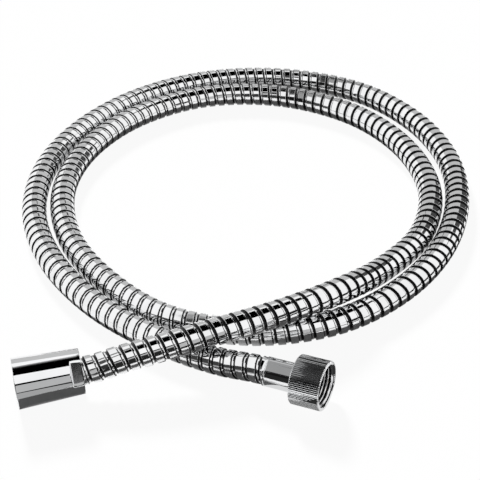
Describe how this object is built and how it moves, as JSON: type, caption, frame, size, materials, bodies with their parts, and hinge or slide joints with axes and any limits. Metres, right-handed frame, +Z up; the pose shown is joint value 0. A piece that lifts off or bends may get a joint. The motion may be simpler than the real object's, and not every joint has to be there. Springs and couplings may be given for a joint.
{
  "type": "shower hose",
  "caption": "Flexible metal shower hose lying in loose turns, with a plain cone nut for the hand shower and a knurled nut with a crimped sleeve for the wall outlet.",
  "frame": {"origin": "on the surface that the hose lies on, under the middle of the bounding box", "axes": "+Z up from the surface, +X to the right as seen from the front, where both end fittings lie, +Y away from the front"},
  "size_m": [0.2611, 0.3315, 0.0292],
  "materials": {
    "polished_steel": "bright polished stainless steel strip, wound and interlocked",
    "chrome_plate": "mirror chrome plating on brass",
    "satin_chrome": "bright chrome plating on a thin drawn sleeve",
    "plain_brass": "turned brass, unplated",
    "tube_rubber": "smooth black rubber",
    "seal_rubber": "matt black rubber"
  },
  "bodies": {
    "hose": {"hose_armour": "polished_steel", "inner_tube": "tube_rubber", "handset_tail": "plain_brass", "handset_seal": "seal_rubber", "handset_sleeve": "satin_chrome", "wall_tail": "plain_brass", "wall_seal": "seal_rubber", "wall_sleeve": "satin_chrome"},
    "handset_nut": {"handset_cone_nut": "chrome_plate"},
    "wall_nut": {"wall_knurled_nut": "chrome_plate"}
  },
  "joints": [
    {"name": "handset_nut_spin", "type": "hinge", "parent": "hose", "child": "handset_nut", "pos_m": [-0.10471, -0.15094, 0.0128], "axis": [0.9705, 0.2366, 0.0471], "continuous": true},
    {"name": "wall_nut_spin", "type": "hinge", "parent": "hose", "child": "wall_nut", "pos_m": [0.03091, -0.15216, 0.01265], "axis": [-0.9123, 0.4062, -0.0523], "continuous": true}
  ]
}
